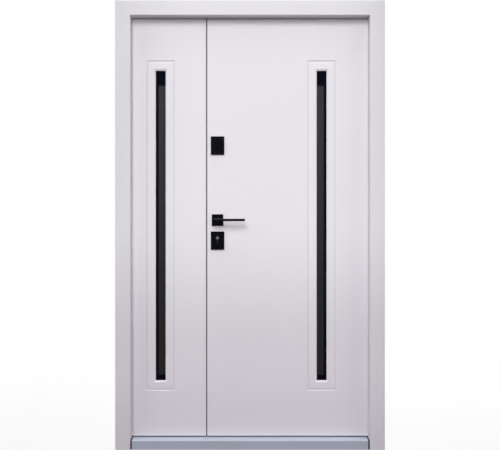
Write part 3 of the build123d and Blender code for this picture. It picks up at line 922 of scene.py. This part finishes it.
class DOOR_OT_stage(bpy.types.Operator):
    """Lay the floor, set the sky, hang the lamps and the screen, and aim the camera"""

    bl_idname = "door.stage"
    bl_label = "Set the stage"

    def execute(self, context):
        stage = context.scene.door_stage
        self.lay_floor()
        self.set_sky(context.scene, stage)
        self.hang_lamps(stage)
        self.hang_screen()
        self.aim_camera(context.scene, stage)
        context.scene.view_settings.view_transform = "Standard"
        return {"FINISHED"}

    def hang_lamps(self, stage):
        """Soft far lamps in front, overhead and at both sides, and one soft lamp behind."""
        far_lamp("key_lamp", height=31, left=5, spread=27, strength=stage.key_strength)
        fill = far_lamp("fill_lamp", height=8, left=2, spread=16, strength=stage.fill_strength)
        fill.visible_glossy = False
        far_lamp("top_lamp", height=76, left=0, spread=24, strength=stage.top_strength)
        far_lamp("left_lamp", height=20, left=62, spread=30, strength=stage.side_strength)
        far_lamp("right_lamp", height=20, left=-62, spread=30, strength=stage.side_strength)
        back = soft_lamp(
            "back_lamp", place=(1.6, 4.3, 2.8), target=(0, 0, FRAME_MIDDLE), size=(3.2, 2.4),
            power=stage.back_power,
        )
        back.visible_glossy = False

    def aim_camera(self, scene, stage):
        """A camera straight in front, at the frame's mid height."""
        camera = bpy.data.cameras.new("photo_camera")
        camera.sensor_fit = "HORIZONTAL"
        camera.lens = camera.sensor_width * stage.camera_distance / stage.view_width
        holder = bpy.data.objects.new("photo_camera", camera)
        holder.location = (0, FRAME_FRONT - stage.camera_distance, FRAME_MIDDLE)
        holder.rotation_euler = (math.pi / 2, 0, 0)
        scene.collection.objects.link(holder)
        scene.camera = holder

    def hang_screen(self):
        """An unseen dark screen in front. Its window lets less light onto the foot and the sides."""
        y = FRAME_FRONT - SCREEN_DISTANCE
        left, right, height = -1.8, 1.5, 5
        sill, knee, top = 1.03, 2.0, 3.72
        outline = ((left, 0), (right, 0), (right, knee), (right, height), (left, height), (left, knee))
        window = ((-1.42, sill), (0.92, sill), (0.67, knee), (0.76, top), (-0.97, top), (-0.99, knee))
        corners = [(x, y, z) for x, z in (*outline, *window)]
        count = len(outline)
        faces = []
        for index in range(count):
            after = (index + 1) % count
            faces.append((index, after, count + after, count + index))
        material, bench = start_material("studio_screen")
        bench.end(bench.node("ShaderNodeBsdfDiffuse", None, {"Color": (0.02, 0.02, 0.02, 1)}))
        screen = self.add_stage_piece("studio_screen", corners, faces, material)
        screen.visible_camera = False
        screen.visible_glossy = False
        screen.visible_transmission = False

    def lay_floor(self):
        """A pale floor that keeps shadows and throws back less light than it shows."""
        reach = FLOOR_REACH
        level = CAD_BOX[0][2] - FLOOR_GAP
        corners = [
            (-reach, -reach, level), (reach, -reach, level), (reach, reach, level), (-reach, reach, level),
        ]
        self.add_stage_piece("studio_floor", corners, [(0, 1, 2, 3)], self.floor_finish())

    def floor_finish(self):
        """Pale where it is seen, and white far away. Dimmer where it lights the door."""
        material, bench = start_material("studio_floor")
        away = bench.node("ShaderNodeVectorMath", {"operation": "LENGTH"}, {0: bench.place()}, "Value")
        grain = bench.noise(bench.place(), scale=6, detail=2)
        pale = bench.mix(grain, (0.90, 0.90, 0.91, 1), (0.93, 0.93, 0.94, 1))
        dull = bench.node("ShaderNodeBsdfDiffuse", None, {"Color": pale})
        glow = bench.node("ShaderNodeEmission", None, {"Color": WHITE, "Strength": 1.0})
        glare = 0.80 + bench.rise(away, 0.8, 3.0) * 0.20
        shown = bench.node("ShaderNodeMixShader", None, {0: glare, 1: dull, 2: glow})
        near_bounce = (0.23, 0.125, 0.215, 1)
        far_bounce = (0.22, 0.20, 0.21, 1)
        bounce = bench.mix(bench.rise(away, 0.6, 1.8), near_bounce, far_bounce)
        dim = bench.node("ShaderNodeBsdfDiffuse", None, {"Color": bounce})
        bench.end(bench.node("ShaderNodeMixShader", None, {0: self.seen_rays(bench), 1: dim, 2: shown}))
        return material

    def add_stage_piece(self, name, corners, faces, material):
        """A mesh that belongs to the stage and not to the door."""
        mesh = bpy.data.meshes.new(name)
        mesh.from_pydata(corners, [], faces)
        mesh.materials.append(material)
        piece = bpy.data.objects.new(name, mesh)
        bpy.context.scene.collection.objects.link(piece)
        return piece

    def seen_rays(self, bench):
        """1 for rays that show the background: camera, glossy and transmission rays."""
        camera = bench.node("ShaderNodeLightPath", output="Is Camera Ray")
        return camera | camera.other("Is Glossy Ray") | camera.other("Is Transmission Ray")

    def set_sky(self, scene, stage):
        """White where it is seen, and a soft light from above where it lights the door."""
        world = bpy.data.worlds.new("studio_sky")
        world.use_nodes = True
        bench = Bench(world.node_tree)
        seen = self.seen_rays(bench)
        way = bench.node("ShaderNodeTexCoord", output="Generated")
        up = bench.node("ShaderNodeSeparateXYZ", None, {"Vector": way}).other("Z")
        low_shade = (0.20, 0.17, 0.22, 1)
        shade = bench.mix(bench.rise(up, -0.35, 0.8), low_shade, (*LAMP_SHADE, 1))
        soft = bench.node("ShaderNodeBackground", None, {"Color": shade, "Strength": stage.sky_strength})
        white = bench.node("ShaderNodeBackground", None, {"Color": WHITE, "Strength": 1.0})
        mixed = bench.node("ShaderNodeMixShader", None, {0: seen, 1: soft, 2: white})
        bench.node("ShaderNodeOutputWorld", None, {"Surface": mixed})
        scene.world = world


class DOOR_PT_sidebar(bpy.types.Panel):
    """The door's operators and settings."""

    bl_idname = "DOOR_PT_sidebar"
    bl_label = "Entrance door"
    bl_space_type = "VIEW_3D"
    bl_region_type = "UI"
    bl_category = "Door"

    def draw(self, context):
        for operator in OPERATORS:
            self.layout.operator(operator.bl_idname)
        for group in (context.scene.door_finish, context.scene.door_detail, context.scene.door_stage):
            box = self.layout.box()
            for name in group.__annotations__:
                box.prop(group, name)


SETTINGS = {
    "door_finish": DoorFinishSettings,
    "door_detail": DoorDetailSettings,
    "door_stage": DoorStageSettings,
}
OPERATORS = (
    DOOR_OT_stage, DOOR_OT_paint, DOOR_OT_metal, DOOR_OT_glazing, DOOR_OT_seals, DOOR_OT_screws,
)


def register():
    """Register the settings, the operators and the panel."""
    for name, group in SETTINGS.items():
        bpy.utils.register_class(group)
        setattr(bpy.types.Scene, name, PointerProperty(type=group))
    for kind in (*OPERATORS, DOOR_PT_sidebar):
        bpy.utils.register_class(kind)


def unregister():
    """Take away what register added."""
    for kind in (DOOR_PT_sidebar, *reversed(OPERATORS)):
        bpy.utils.unregister_class(kind)
    for name, group in SETTINGS.items():
        delattr(bpy.types.Scene, name)
        bpy.utils.unregister_class(group)


def main():
    """Run the operators in order."""
    register()
    bpy.ops.door.stage()
    bpy.ops.door.paint()
    bpy.ops.door.metal()
    bpy.ops.door.glazing()
    bpy.ops.door.seals()
    bpy.ops.door.screws()


if __name__ == "__main__":
    main()
